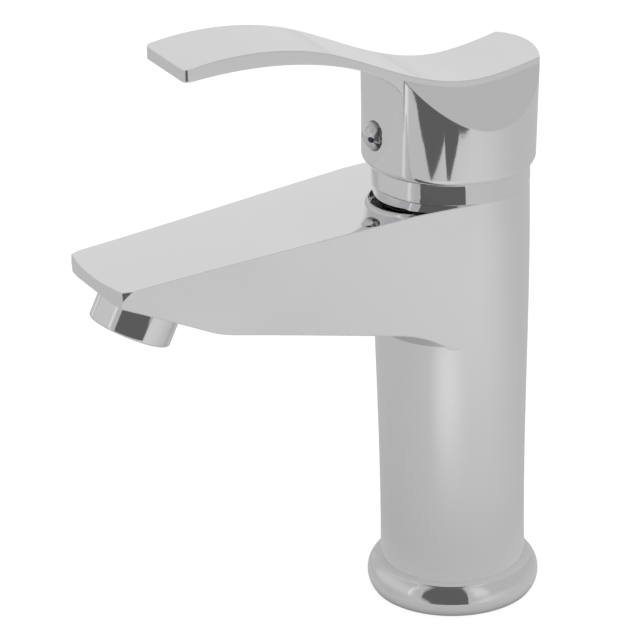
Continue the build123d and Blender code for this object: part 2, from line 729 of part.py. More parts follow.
# Rotor: swivelling head with a flange, a lower bore and the spindle's slot
with BuildPart() as rotor:
    with BuildSketch(Plane.XY.offset(rotor_foot_height)):
        Circle(rotor_radius)
    extrude(amount=rotor_top_height - rotor_foot_height)
    with BuildSketch(Plane.XY.offset(rotor_flange_height)):
        Circle(rotor_flange_radius)
    extrude(amount=rotor_flange_thickness)
    with BuildSketch(Plane.XY.offset(rotor_foot_height)):
        Circle(rotor_bore_radius)
    extrude(amount=rotor_bore_height - rotor_foot_height, mode=Mode.SUBTRACT)
    with BuildSketch(Plane.XY.offset(rotor_foot_height)):
        with Locations((0, (slot_front_y + slot_rear_y) / 2)):
            Rectangle(2 * slot_half_width, slot_rear_y - slot_front_y)
    extrude(amount=rotor_top_height - rotor_foot_height, mode=Mode.SUBTRACT)
    with BuildSketch(Plane.YZ.offset(-rotor_radius)):
        with Locations((0, pivot_height)):
            Circle(pin_radius + pin_gap)
    extrude(amount=2 * rotor_radius, mode=Mode.SUBTRACT)
    chamfer(rotor.faces().sort_by(Axis.Z)[-1].outer_wire().edges(), length=rotor_chamfer)
rotor.part.label = "rotor"
export_step(rotor.part, "parts/rotor.step")

# Pivot pin across the rotor
with BuildPart() as pivot_pin:
    with BuildSketch(Plane.YZ.offset(-pin_length / 2)):
        with Locations((0, pivot_height)):
            Circle(pin_radius)
    extrude(amount=pin_length)
    chamfer(pivot_pin.edges().filter_by(GeomType.CIRCLE), length=pin_chamfer)
pivot_pin.part.label = "pivot_pin"
export_step(pivot_pin.part, "parts/pivot_pin.step")

# Spindle: square stem, eye on the pin, lower arm with a round nose
with BuildPart() as spindle:
    with BuildSketch(Plane.XY.offset(pivot_height)):
        Rectangle(2 * spindle_half_width, 2 * spindle_half_width)
    extrude(amount=spindle_top_height - pivot_height)
    chamfer(spindle.faces().sort_by(Axis.Z)[-1].edges(), length=spindle_chamfer)
    with BuildSketch(Plane.YZ.offset(-spindle_half_width)):
        with Locations((0, pivot_height)):
            Circle(spindle_eye_radius)
    extrude(amount=2 * spindle_half_width)
    with BuildSketch(Plane.YZ.offset(-nose_half_width)):
        with Locations((0, (nose_height + pivot_height) / 2)):
            Rectangle(2 * arm_half_depth, pivot_height - nose_height)
        with Locations((0, nose_height)):
            Circle(nose_radius)
    extrude(amount=2 * nose_half_width)
    with BuildSketch(Plane.YZ.offset(-spindle_half_width)):
        with Locations((0, pivot_height)):
            Circle(pin_radius + pin_running_gap)
    extrude(amount=2 * spindle_half_width, mode=Mode.SUBTRACT)
spindle.part.label = "spindle"
export_step(spindle.part, "parts/spindle.step")

# Bonnet: polished skirt and dome, the dome centred on the lever's pivot
with BuildPart() as bonnet:
    with BuildSketch(Plane.XZ):
        with BuildLine():
            Polyline((bonnet_skirt_radius, bonnet_skirt_height), (bonnet_skirt_radius, bonnet_foot_height),
                     (bonnet_web_radius, bonnet_foot_height), (bonnet_web_radius, bonnet_web_height),
                     (bonnet_inner_foot, bonnet_web_height))
            RadiusArc((bonnet_inner_foot, bonnet_web_height), (bonnet_inner_top, bonnet_top_height),
                      -(bonnet_radius - bonnet_wall))
            Line((bonnet_inner_top, bonnet_top_height), (bonnet_dome_top, bonnet_top_height))
            RadiusArc((bonnet_dome_top, bonnet_top_height), (bonnet_skirt_radius, bonnet_skirt_height),
                      bonnet_radius)
        make_face()
    revolve(axis=Axis.Z)
bonnet.part.label = "bonnet"
export_step(bonnet.part, "parts/bonnet.step")

# Handle: round base, wave lever, side facets, front flat, then its hollow
with BuildPart() as handle:
    with BuildSketch(Plane.XY.offset(handle_low_height)):
        with Locations((0, handle_low_offset)):
            Circle(handle_low_radius)
    with BuildSketch(Plane.XY.offset(handle_high_height)):
        with Locations((0, handle_high_offset)):
            Circle(handle_high_radius)
    loft()
    with BuildSketch(Plane.YZ):
        with BuildLine():
            Polyline((front_flat_y(handle_low_height), handle_low_height),
                     (front_flat_y(handle_high_height), handle_high_height),
                     (-spout_side_reach, handle_high_height),
                     (-spout_side_reach, handle_low_height), close=True)
        make_face()
    extrude(amount=spout_side_reach, both=True, mode=Mode.SUBTRACT)
    with BuildSketch(Plane.YZ):
        with BuildLine():
            arch = Spline(*from_top(lever_under))
            Polyline(arch @ 1, (lever_under[-1][0], lever_root_height), (lever_root_y, lever_root_height),
                     (lever_root_y, trim_height), (lever_under[0][0], trim_height), arch @ 0)
        make_face()
    extrude(amount=lever_half_width, both=True)
    fillet(handle.edges().filter_by(Axis.Z).sort_by(Axis.Y)[:2], radius=lever_tip_radius)
    with BuildSketch(Plane.YZ):
        with BuildLine():
            wave = Spline(*from_top(lever_top))
            tip = wave @ 1
            Polyline(tip, (tip.X - facet_band, tip.Y), (tip.X - facet_band, trim_height),
                     (lever_top[0][0], trim_height), wave @ 0)
        make_face()
    extrude(amount=spout_side_reach, both=True, mode=Mode.SUBTRACT)
    for side in (1, -1):
        with BuildSketch(Plane.YZ.offset(side * lever_half_width)):
            with BuildLine():
                band = Spline(*from_top(lever_top, facet_band))
                Polyline(band @ 1, (lever_top[-1][0], trim_height), (lever_top[0][0], trim_height), band @ 0)
            make_face()
        extrude(amount=facet_reach, dir=(side, 0, -facet_drop), mode=Mode.SUBTRACT)
    with BuildSketch(Plane.YZ):
        with BuildLine():
            Polyline((-handle_rim_reach, handle_rim_front_height), (handle_rim_reach, handle_rim_rear_height),
                     (handle_rim_reach, handle_low_height),
                     (-handle_rim_reach, handle_low_height), close=True)
        make_face()
    extrude(amount=handle_rim_reach, both=True, mode=Mode.SUBTRACT)
    fillet(handle.faces().sort_by(Axis.Z)[0].outer_wire().edges(), radius=handle_rim_radius)
    with Locations((0, 0, pivot_height)):
        Sphere(handle_cavity_radius, mode=Mode.SUBTRACT)
    with BuildSketch(Plane.XY.offset(handle_low_height)):
        with Locations((0, handle_low_offset)):
            Circle(handle_mouth_radius)
    extrude(amount=column_top_height + handle_mouth_rise - handle_low_height, mode=Mode.SUBTRACT)
    with BuildSketch(Plane.XY.offset(boss_foot_height)):
        Circle(boss_radius)
    extrude(amount=lever_root_height - boss_foot_height)
    with BuildSketch(Plane.XY.offset(boss_foot_height)):
        Rectangle(2 * socket_half_width, 2 * socket_half_width)
    extrude(amount=socket_top_height - boss_foot_height, mode=Mode.SUBTRACT)
    with BuildSketch(Plane.XZ.offset(socket_half_width)):
        with Locations((0, cap_height)):
            Circle(screw_radius + screw_gap)
    extrude(amount=-cap_face_y - socket_half_width, mode=Mode.SUBTRACT)
    with BuildSketch(cap_plane.offset(-cap_recess_depth)):
        Circle(cap_radius + cap_gap)
    extrude(amount=2 * cap_recess_depth, mode=Mode.SUBTRACT)
handle.part.label = "handle"
export_step(handle.part, "parts/handle.step")

# Grub screw that grips the spindle
with BuildPart() as handle_screw:
    with BuildSketch(Plane.XZ.offset(screw_tip_y)):
        with Locations((0, cap_height)):
            Circle(screw_radius)
    extrude(amount=screw_length)
    chamfer(handle_screw.edges().filter_by(GeomType.CIRCLE), length=screw_chamfer)
    with BuildSketch(Plane.XZ.offset(screw_tip_y + screw_length - screw_hex_depth)):
        with Locations((0, cap_height)):
            RegularPolygon(screw_hex_radius, screw_hex_sides)
    extrude(amount=screw_hex_depth, mode=Mode.SUBTRACT)
handle_screw.part.label = "handle_screw"
export_step(handle_screw.part, "parts/handle_screw.step")

# Index cap: domed plug with two inlaid marks
with BuildPart() as index_cap:
    with BuildSketch(cap_plane.offset(cap_floor)):
        Circle(cap_radius)
    extrude(amount=cap_rim_stand + cap_crown - cap_floor)
    with Locations(cap_plane.offset(cap_rim_stand + cap_crown - cap_dome_radius).location):
        Sphere(cap_dome_radius, mode=Mode.INTERSECT)
    with BuildSketch(cap_plane.offset(mark_floor)):
        with Locations((mark_x, 0), (-mark_x, 0)):
            Circle(mark_radius + mark_gap)
    extrude(amount=cap_crown + cap_rim_stand, mode=Mode.SUBTRACT)
index_cap.part.label = "index_cap"
export_step(index_cap.part, "parts/index_cap.step")

with BuildPart() as hot_mark:
    with BuildSketch(cap_plane.offset(mark_floor + mark_gap)):
        with Locations((-mark_x, 0)):
            Circle(mark_radius)
    extrude(amount=mark_depth)
hot_mark.part.label = "hot_mark"
export_step(hot_mark.part, "parts/hot_mark.step")

with BuildPart() as cold_mark:
    with BuildSketch(cap_plane.offset(mark_floor + mark_gap)):
        with Locations((mark_x, 0)):
            Circle(mark_radius)
    extrude(amount=mark_depth)
cold_mark.part.label = "cold_mark"
export_step(cold_mark.part, "parts/cold_mark.step")

# Aerator ring screwed over the nipple
with BuildPart() as aerator_housing:
    with BuildSketch(aerator_plane.offset(-aerator_seat_gap)):
        Circle(aerator_radius)
    extrude(amount=aerator_seat_gap - aerator_length)
    fillet(aerator_housing.faces().sort_by(Axis.Z)[0].edges(), radius=aerator_edge_radius)
    with BuildSketch(aerator_plane.offset(-aerator_seat_gap)):
        Circle(nipple_radius + aerator_thread_gap)
    extrude(amount=aerator_seat_gap - aerator_length + aerator_lip_thickness, mode=Mode.SUBTRACT)
    with BuildSketch(aerator_plane.offset(-aerator_seat_gap)):
        Circle(aerator_lip_radius)
    extrude(amount=aerator_seat_gap - aerator_length, mode=Mode.SUBTRACT)
aerator_housing.part.label = "aerator_housing"
export_step(aerator_housing.part, "parts/aerator_housing.step")

# Washer at the nipple's end
with BuildPart() as aerator_gasket:
    with BuildSketch(aerator_plane.offset(-nipple_length - piece_gap)):
        Circle(nipple_radius)
        Circle(aerator_gasket_inner, mode=Mode.SUBTRACT)
    extrude(amount=-aerator_gasket_thickness)
aerator_gasket.part.label = "aerator_gasket"
export_step(aerator_gasket.part, "parts/aerator_gasket.step")

# Plastic core: flange, cup and spokes
with BuildPart() as aerator_insert:
    with BuildSketch(aerator_plane.offset(-insert_flange_top)):
        Circle(nipple_radius)
    extrude(amount=insert_flange_top - insert_flange_foot)
    with BuildSketch(aerator_plane.offset(-aerator_length + aerator_lip_recess)):
        Circle(insert_radius)
    extrude(amount=aerator_length - aerator_lip_recess - insert_top_depth)
    with BuildSketch(aerator_plane.offset(-aerator_length + aerator_lip_recess)):
        Circle(insert_bore)
    extrude(amount=aerator_length - aerator_lip_recess - insert_top_depth, mode=Mode.SUBTRACT)
    with BuildSketch(aerator_plane.offset(-aerator_length + aerator_lip_recess)):
        Circle(insert_core_radius)
        with PolarLocations(insert_bore / 2, insert_spoke_count):
            Rectangle(insert_bore + insert_spoke_width, insert_spoke_width)
    extrude(amount=insert_spoke_height)
aerator_insert.part.label = "aerator_insert"
export_step(aerator_insert.part, "parts/aerator_insert.step")

# Screen disc in the core's mouth
with BuildPart() as aerator_screen:
    with BuildSketch(aerator_plane.offset(-insert_top_depth - screen_thickness)):
        Circle(screen_radius)
        with HexLocations(screen_pitch / 2, screen_count, screen_count):
            Circle(screen_hole_radius, mode=Mode.SUBTRACT)
    extrude(amount=screen_thickness)
aerator_screen.part.label = "aerator_screen"
export_step(aerator_screen.part, "parts/aerator_screen.step")
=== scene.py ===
import bmesh
import bpy
import json
import math
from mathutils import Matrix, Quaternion, Vector


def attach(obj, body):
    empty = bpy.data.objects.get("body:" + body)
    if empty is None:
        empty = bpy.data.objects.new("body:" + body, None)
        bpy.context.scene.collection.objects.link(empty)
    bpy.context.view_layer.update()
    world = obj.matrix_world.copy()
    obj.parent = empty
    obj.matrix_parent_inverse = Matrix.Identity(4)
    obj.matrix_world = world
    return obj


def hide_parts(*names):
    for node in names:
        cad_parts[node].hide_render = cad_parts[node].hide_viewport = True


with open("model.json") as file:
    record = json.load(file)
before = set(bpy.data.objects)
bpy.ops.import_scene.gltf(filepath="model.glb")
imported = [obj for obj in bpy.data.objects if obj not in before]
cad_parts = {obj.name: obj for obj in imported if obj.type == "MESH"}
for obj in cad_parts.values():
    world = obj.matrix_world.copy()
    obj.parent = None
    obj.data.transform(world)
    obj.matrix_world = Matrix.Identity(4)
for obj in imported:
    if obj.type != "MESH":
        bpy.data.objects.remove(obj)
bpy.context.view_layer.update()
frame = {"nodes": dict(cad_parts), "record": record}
nodes = frame["nodes"]
scene = bpy.context.scene
print("frame loaded:", len(nodes), "nodes")

# camera, fitted to the photograph
cameraSet = {"azimuth": 61.80, "elevation": 23.84, "roll": 1.143, "distance": 1.3,
             "aim": (-0.02424, -0.03445, 0.08973), "lens": 240.69, "clipEnd": 20}


def towards(azimuth, elevation):
    a, e = math.radians(azimuth), math.radians(elevation)
    return Vector((math.sin(a) * math.cos(e), -math.cos(a) * math.cos(e), math.sin(e)))


def makeCamera(s):
    camera = bpy.data.objects.new("camera", bpy.data.cameras.new("camera"))
    scene.collection.objects.link(camera)
    back = towards(s["azimuth"], s["elevation"])
    camera.location = Vector(s["aim"]) + back * s["distance"]
    camera.rotation_mode = "QUATERNION"
    turn = Quaternion((0, 0, 1), math.radians(-s["roll"]))
    camera.rotation_quaternion = (-back).to_track_quat("-Z", "Y") @ turn
    camera.data.lens = s["lens"]
    camera.data.clip_end = s["clipEnd"]
    scene.camera = camera


makeCamera(cameraSet)


# a node tree with short calls: each takes sockets or plain values and gives back the socket of its result
class Tree:
    def __init__(self, tree):
        self.tree = tree

    def add(self, kind, values=None, **props):
        node = self.tree.nodes.new(kind)
        for name, value in props.items():
            setattr(node, name, value)
        for name, value in (values or {}).items():
            node.inputs[name].default_value = value
        return node

    def link(self, a, b):
        self.tree.links.new(a, b)

    def feed(self, value, socket):
        if isinstance(value, bpy.types.NodeSocket):
            self.link(value, socket)
        else:
            socket.default_value = value

    def calc(self, operation, *values, **props):
        node = self.add("ShaderNodeMath", operation=operation, **props)
        for value, socket in zip(values, node.inputs):
            self.feed(value, socket)
        return node.outputs["Value"]

    def vector(self, operation, *values):
        node = self.add("ShaderNodeVectorMath", operation=operation)
        for value, socket in zip(values, node.inputs):
            self.feed(value, socket)
        return node.outputs["Value" if operation in ("LENGTH", "DISTANCE", "DOT_PRODUCT") else "Vector"]

    def scale(self, vector, factor):
        node = self.add("ShaderNodeVectorMath", operation="SCALE")
        self.feed(vector, node.inputs[0])
        self.feed(factor, node.inputs["Scale"])
        return node.outputs["Vector"]

    def split(self, vector):
        node = self.add("ShaderNodeSeparateXYZ")
        self.link(vector, node.inputs["Vector"])
        return [node.outputs[axis] for axis in "XYZ"]

    def join(self, **parts):
        node = self.add("ShaderNodeCombineXYZ")
        for axis, value in parts.items():
            self.feed(value, node.inputs[axis])
        return node.outputs["Vector"]

    def mix(self, kind, factor, a, b):
        node = self.add("ShaderNodeMix", data_type=kind)
        for name, value in (("Factor", factor), ("A", a), ("B", b)):
            self.feed(value, node.inputs[name])
        return node.outputs["Result"]

    def ramp(self, value, start, end, low, high, **props):
        node = self.add("ShaderNodeMapRange", **props)
        names = ("Value", "From Min", "From Max", "To Min", "To Max")
        for name, given in zip(names, (value, start, end, low, high)):
            self.feed(given, node.inputs[name])
        return node.outputs["Result"]

    # where a point lies on its own piece
    def place(self):
        return self.add("ShaderNodeTexCoord").outputs["Object"]

    def turn(self, normal, start, end):
        node = self.add("ShaderNodeVectorTransform", vector_type="NORMAL", convert_from=start, convert_to=end)
        self.link(normal, node.inputs["Vector"])
        return node.outputs["Vector"]


# a new shader group with its sockets: numbers as name, least, most and default
def startGroup(name, vectors, numbers, results):
    group = bpy.data.node_groups.new(name, "ShaderNodeTree")
    for title in vectors:
        group.interface.new_socket(title, in_out="INPUT", socket_type="NodeSocketVector")
    for title, least, most, value in numbers:
        socket = group.interface.new_socket(title, in_out="INPUT", socket_type="NodeSocketFloat")
        socket.min_value, socket.max_value, socket.default_value = least, most, value
    for title, kind in results.items():
        group.interface.new_socket(title, in_out="OUTPUT", socket_type=kind)
    t = Tree(group)
    return t, t.add("NodeGroupInput").outputs, t.add("NodeGroupOutput").inputs


# group: slow unevenness of a hand polished or moulded skin
def makeSkinGroup():
    numbers = (("Cloud Scale", 1, 2000, 60), ("Grain Scale", 1, 20000, 3000), ("Roughness Low", 0, 1, 0.05),
               ("Roughness High", 0, 1, 0.1), ("Grain Share", 0, 1, 0.5))
    results = {title: "NodeSocketFloat" for title in ("Roughness", "Height", "Cloud")}
    t, given, out = startGroup("surfaceSkin", (), numbers, results)
    place = t.place()
    cloud = t.add("ShaderNodeTexNoise", {"Detail": 3.0, "Roughness": 0.5})
    grain = t.add("ShaderNodeTexNoise", {"Detail": 2.0, "Roughness": 0.6})
    for noise, scale in ((cloud, "Cloud Scale"), (grain, "Grain Scale")):
        t.link(place, noise.inputs["Vector"])
        t.link(given[scale], noise.inputs["Scale"])
    clouds, grains = cloud.outputs["Fac"], grain.outputs["Fac"]
    t.link(t.ramp(clouds, 0.0, 1.0, given["Roughness Low"], given["Roughness High"]), out["Roughness"])
    t.link(t.mix("FLOAT", given["Grain Share"], clouds, grains), out["Height"])
    t.link(clouds, out["Cloud"])
    return t.tree


skinGroup = makeSkinGroup()


# group: true shading round an upright or leaning axis, free of the mesh's small facets
def makeRoundGroup():
    numbers = (("Axis Y", -1, 1, 0.0), ("Axis Slope", -1, 1, 0.0), ("Flare", -1, 1, 0.0), ("Flare Share", 0, 1, 0.0),
               ("Steepest", 0, 1, 0.75), ("Agreement", -1, 1, 0.9985), ("Lowest", -1, 1, -1.0), ("Highest", -1, 1, 1.0),
               ("Crown", 0, 100, 0.0), ("Crown Start", 0, 1, 0.9))
    t, given, out = startGroup("trueRound", ("Normal",), numbers, {"Normal": "NodeSocketVector"})
    own = t.turn(given["Normal"], "WORLD", "OBJECT")
    x, y, z = t.split(t.place())
    slope = t.split(own)[2]
    # the round form's own normal here: away from the axis, rising or falling with the flare
    axis = t.calc("MULTIPLY_ADD", z, given["Axis Slope"], given["Axis Y"])
    away = t.vector("NORMALIZE", t.join(X=x, Y=t.calc("SUBTRACT", y, axis)))
    fall = t.calc("MULTIPLY_ADD", t.split(away)[1], given["Axis Slope"], given["Flare"])
    rise = t.mix("FLOAT", given["Flare Share"], slope, t.calc("MULTIPLY", fall, -1.0))
    level = t.calc("SQRT", t.calc("SUBTRACT", 1.0, t.calc("MULTIPLY", rise, rise), use_clamp=True))
    true = t.vector("ADD", t.scale(away, level), t.join(Z=rise))
    # taken only where the face is nearly that round form
    close = t.calc("GREATER_THAN", t.vector("DOT_PRODUCT", true, own), given["Agreement"])
    upright = t.calc("LESS_THAN", t.calc("ABSOLUTE", slope), given["Steepest"])
    across, along, up = t.split(t.mix("VECTOR", t.calc("MULTIPLY", close, upright), own, true))
    # faces that look up are crowned across their width
    crown = t.calc("MULTIPLY", t.calc("GREATER_THAN", up, given["Crown Start"]), given["Crown"])
    held = t.calc("MINIMUM", t.calc("MAXIMUM", up, given["Lowest"]), given["Highest"])
    whole = t.vector("NORMALIZE", t.join(X=t.calc("MULTIPLY_ADD", crown, x, across), Y=along, Z=held))
    t.link(t.turn(whole, "OBJECT", "WORLD"), out["Normal"])
    return t.tree


roundGroup = makeRoundGroup()


# another colour and gloss in a zone round the upright axis: within a reach, between two heights, before a front plane;
# here it paints shade into hollows, and gives the handle's inside its dull cast finish
def addZone(t, s, colour, roughness):
    place = t.place()
    _, y, z = t.split(place)
    reach = t.vector("LENGTH", t.vector("MULTIPLY", place, (1, 1, 0)))
    inside = t.calc("LESS_THAN", reach, s["reach"])
    for operation, value, limit in (("LESS_THAN", z, "top"), ("GREATER_THAN", z, "bottom"), ("LESS_THAN", y, "front")):
        inside = t.calc("MULTIPLY", inside, t.calc(operation, value, s[limit]))
    return t.mix("RGBA", inside, colour, (*s["colour"], 1)), t.mix("FLOAT", inside, roughness, s["roughness"])


# a foot that flows out of its column: softer corners, and a slope held level above its brow and leaning below it
def addFoot(t, s, soft, true):
    z = t.split(t.place())[2]
    width = t.ramp(z, s["full"], s["end"], s["edge"], soft.inputs["Radius"].default_value)
    least = t.ramp(z, s["bulge"], s["bulge"] + s["step"], -1.0, s["least"])
    most = t.ramp(z, s["brow"], s["brow"] + s["step"], s["most"], 0.0)
    above = t.calc("GREATER_THAN", z, s["full"])
    t.link(width, soft.inputs["Radius"])
    # above the foot both limits open up again
    t.link(t.calc("MULTIPLY_ADD", above, -2.0, least), true.inputs["Lowest"])
    t.link(t.calc("MAXIMUM", above, most), true.inputs["Highest"])


# crisper corners before a front plane: between side and end the normal turns faster, about a middle angle
def addCorner(t, s, normal):
    own = t.turn(normal, "WORLD", "OBJECT")
    x, y, z = t.split(own)
    side, end = t.calc("ABSOLUTE", x), t.calc("MULTIPLY", y, -1.0)
    level = t.calc("SQRT", t.calc("ADD", t.calc("MULTIPLY", x, x), t.calc("MULTIPLY", y, y)))
    balance = math.tan(math.radians(s["middle"])) ** (1 - s["power"])
    sharp = t.calc("MULTIPLY", t.calc("POWER", side, s["power"]), balance)
    turn = t.calc("ARCTAN2", sharp, t.calc("POWER", end, s["power"]))
    across = t.calc("MULTIPLY", t.calc("MULTIPLY", t.calc("SINE", turn), level), t.calc("SIGN", x))
    along = t.calc("MULTIPLY", t.calc("MULTIPLY", t.calc("COSINE", turn), level), -1.0)
    corner = t.calc("MULTIPLY", t.calc("GREATER_THAN", side, s["least"]), t.calc("GREATER_THAN", end, s["least"]))
    inside = t.calc("MULTIPLY", corner, t.calc("LESS_THAN", t.split(t.place())[1], s["front"]))
    return t.turn(t.mix("VECTOR", inside, own, t.join(X=across, Y=along, Z=z)), "OBJECT", "WORLD")


# a dark ring beyond a small reach from a centre, with a soft start: printed round the marks, painted shadow round the
# index cap's edge
def addRing(t, s, colour):
    away = t.vector("DISTANCE", t.place(), s["centre"])
    soft = 0.1 * s["reach"]
    beyond = t.ramp(away, s["reach"] - soft, s["reach"] + soft, 0.0, 1.0)
    return t.mix("RGBA", beyond, colour, (*s["colour"], 1))


# one finish: two near colours that drift into each other, varied gloss and a fine bump
def makeFinish(name, s):
    material = bpy.data.materials.new(name)
    material.use_nodes = True
    t = Tree(material.node_tree)
    t.tree.nodes.clear()
    out = t.add("ShaderNodeOutputMaterial")
    shader = t.add("ShaderNodeBsdfPrincipled", {"Metallic": s.get("metallic", 0.0)})
    skin = t.add("ShaderNodeGroup", s["skin"], node_tree=skinGroup)
    bump = t.add("ShaderNodeBump", {"Strength": s["bump"], "Distance": s["depth"]})
    colour = t.mix("RGBA", skin.outputs["Cloud"], (*s["colour"], 1), (*s["second"], 1))
    roughness = skin.outputs["Roughness"]
    if "zone" in s:
        colour, roughness = addZone(t, s["zone"], colour, roughness)
    if "ring" in s:
        colour = addRing(t, s["ring"], colour)
    if "round" in s:
        soft = t.add("ShaderNodeBevel", {"Radius": s["edge"]}, samples=6)
        true = t.add("ShaderNodeGroup", s["round"], node_tree=roundGroup)
        if "foot" in s:
            addFoot(t, s["foot"], soft, true)
        normal = soft.outputs["Normal"]
        if "corner" in s:
            normal = addCorner(t, s["corner"], normal)
        t.link(normal, true.inputs["Normal"])
        t.link(true.outputs["Normal"], bump.inputs["Normal"])
    t.link(colour, shader.inputs["Base Color"])
    t.link(roughness, shader.inputs["Roughness"])
    t.link(skin.outputs["Height"], bump.inputs["Height"])
    t.link(bump.outputs["Normal"], shader.inputs["Normal"])
    t.link(shader.outputs["BSDF"], out.inputs["Surface"])
    return material


# index cap in the handle's leaning front: a domed plug with two marks, in metres
# rings are twelfths of the radius, and a mark's profile is shares of its radius with a lift off the dome
cap = {"centre": (0.0, -0.026576, 0.1556), "lean": 6.97, "radius": 0.00444, "dome": 0.0024, "rim": 0.0006,
       "depth": 0.0019, "rings": (0.3, 1, 2, 3, 4, 5, 6, 7, 8, 9, 10, 11, 11.6, 12), "steps": 64, "crease": 40,
       "markX": 0.0025, "markY": -0.0003, "markRadius": 0.00095, "dotRadius": 0.00055,
       "markProfile": ((0.1, 0.00009), (0.4, 0.00008), (0.7, 0.00006), (0.9, 0.00003), (1, -0.00004), (1, -0.0002),
                       (0.1, -0.0002)),
       # the wall numbers place the painted shadow round the cap's edge
       "wallHeight": 0.0003, "wallShare": 0.99}


def onCap(across, up, out):
    a = math.radians(cap["lean"])
    x, y, z = cap["centre"]
    return Vector((x + across, y + up * math.sin(a) - out * math.cos(a), z + up * math.cos(a) + out * math.sin(a)))


def capHeight(reach):
    return cap["rim"] + cap["dome"] * (1 - min(reach / cap["radius"], 1.0) ** 2)


def markCentre(side):
    x = side * cap["markX"]
    return onCap(x, cap["markY"], capHeight(math.hypot(x, cap["markY"])))


polish = {"metallic": 1.0, "colour": (0.90, 0.90, 0.905), "second": (0.86, 0.86, 0.87),
          "skin": {"Cloud Scale": 38, "Grain Scale": 900, "Roughness Low": 0.015, "Roughness High": 0.05,
                   "Grain Share": 0.03},
          "bump": 0.05, "depth": 0.0006, "edge": 0.0006}
dotSkin = {"Cloud Scale": 900, "Grain Scale": 9000, "Roughness Low": 0.12, "Roughness High": 0.2, "Grain Share": 0.5}
finishes = {
    "chrome": {**polish, "round": {"Axis Y": 0.0}},
    "bodyChrome": {**polish, "round": {"Axis Y": 0.0, "Crown": 8.6},
                   "foot": {"full": 0.014, "end": 0.026, "edge": 0.003, "bulge": 0.0043, "brow": 0.0094,
                            "step": 0.0003, "least": 0.25, "most": 0.65},
                   # painted shade: a darker colour in the cove under the spout, where the spout meets the column
                   "zone": {"reach": 0.0244, "bottom": 0.0908, "top": 0.0975, "front": -0.0135,
                            "colour": (0.61, 0.61, 0.615), "roughness": 0.06}},
    "bonnetChrome": {**polish, "round": {"Axis Y": 0.0, "Flare": -0.07, "Flare Share": 1.0, "Steepest": 0.4,
                                         "Agreement": 0.9}},
    "handleChrome": {**polish, "round": {"Axis Y": -0.00488, "Axis Slope": 0.02955, "Flare": 0.01136,
                                         "Flare Share": 1.0, "Steepest": 0.08, "Agreement": 0.9985},
                     # inside the handle: a dull cast finish, its dark colour partly painted shade in the hollow
                     "zone": {"reach": 0.0251, "bottom": 0.0, "top": 0.159, "front": 1.0,
                              "colour": (0.2, 0.2, 0.2), "roughness": 0.6},
                     "corner": {"front": -0.08, "middle": 45.0, "power": 2.6, "least": 0.12}},
    "capChrome": {"metallic": 1.0, "colour": (0.80, 0.80, 0.81), "second": (0.70, 0.70, 0.71),
                  "skin": {"Cloud Scale": 300, "Grain Scale": 4000, "Roughness Low": 0.06,
                           "Roughness High": 0.12, "Grain Share": 0.5},
                  "bump": 0.05, "depth": 0.0002,
                  # painted shadow: a dark ring round the dome's edge, in the gap between the cap and its hole
                  "ring": {"reach": cap["wallShare"] * cap["radius"], "centre": onCap(0, 0, cap["wallHeight"]),
                           "colour": (0.05, 0.05, 0.055)}},
    "brass": {"metallic": 1.0, "colour": (0.76, 0.56, 0.27), "second": (0.66, 0.47, 0.22),
              "skin": {"Cloud Scale": 90, "Grain Scale": 2600, "Roughness Low": 0.22, "Roughness High": 0.38,
                       "Grain Share": 0.7},
              "bump": 0.15, "depth": 0.0004},
    "steel": {"metallic": 1.0, "colour": (0.62, 0.62, 0.63), "second": (0.52, 0.52, 0.54),
              "skin": {"Cloud Scale": 160, "Grain Scale": 5000, "Roughness Low": 0.2, "Roughness High": 0.32,
                       "Grain Share": 0.7},
              "bump": 0.12, "depth": 0.0003},
    "whitePlastic": {"colour": (0.82, 0.82, 0.79), "second": (0.76, 0.76, 0.73),
                     "skin": {"Cloud Scale": 120, "Grain Scale": 4200, "Roughness Low": 0.34,
                              "Roughness High": 0.5, "Grain Share": 0.8},
                     "bump": 0.1, "depth": 0.0002},
    "greyPlastic": {"colour": (0.32, 0.34, 0.36), "second": (0.26, 0.28, 0.30),
                    "skin": {"Cloud Scale": 120, "Grain Scale": 4200, "Roughness Low": 0.38,
                             "Roughness High": 0.52, "Grain Share": 0.8},
                    "bump": 0.12, "depth": 0.0002},
    "ceramic": {"colour": (0.88, 0.86, 0.80), "second": (0.84, 0.82, 0.76),
                "skin": {"Cloud Scale": 200, "Grain Scale": 6000, "Roughness Low": 0.08, "Roughness High": 0.16,
                         "Grain Share": 0.6},
                "bump": 0.03, "depth": 0.0002},
    "rubber": {"colour": (0.018, 0.018, 0.019), "second": (0.03, 0.03, 0.031),
               "skin": {"Cloud Scale": 140, "Grain Scale": 3600, "Roughness Low": 0.6, "Roughness High": 0.8,
                        "Grain Share": 0.8},
               "bump": 0.2, "depth": 0.0002},
    "hotRed": {"colour": (0.45, 0.02, 0.02), "second": (0.36, 0.014, 0.014), "skin": dotSkin, "bump": 0.04,
               "depth": 0.0001,
               "ring": {"reach": cap["dotRadius"], "centre": markCentre(-1), "colour": (0.32, 0.014, 0.014)}},
    "coldBlue": {"colour": (0.015, 0.018, 0.085), "second": (0.012, 0.015, 0.065), "skin": dotSkin, "bump": 0.04,
                 "depth": 0.0001,
                 "ring": {"reach": cap["dotRadius"], "centre": markCentre(1), "colour": (0.012, 0.012, 0.014)}},
}
materials = {name: makeFinish(name, s) for name, s in finishes.items()}
print("finishes made:", len(materials))

# the record's slots, each with its finish, and the nodes that have a finish of their own
finishOfSlot = {"chrome": "chrome", "cap_chrome": "capChrome", "brass": "brass", "steel": "steel",
                "white_plastic": "whitePlastic", "grey_plastic": "greyPlastic", "ceramic": "ceramic",
                "rubber": "rubber", "hot_red": "hotRed", "cold_blue": "coldBlue"}
ownFinish = {"handle": "handleChrome", "bonnet": "bonnetChrome", "body_casting": "bodyChrome"}


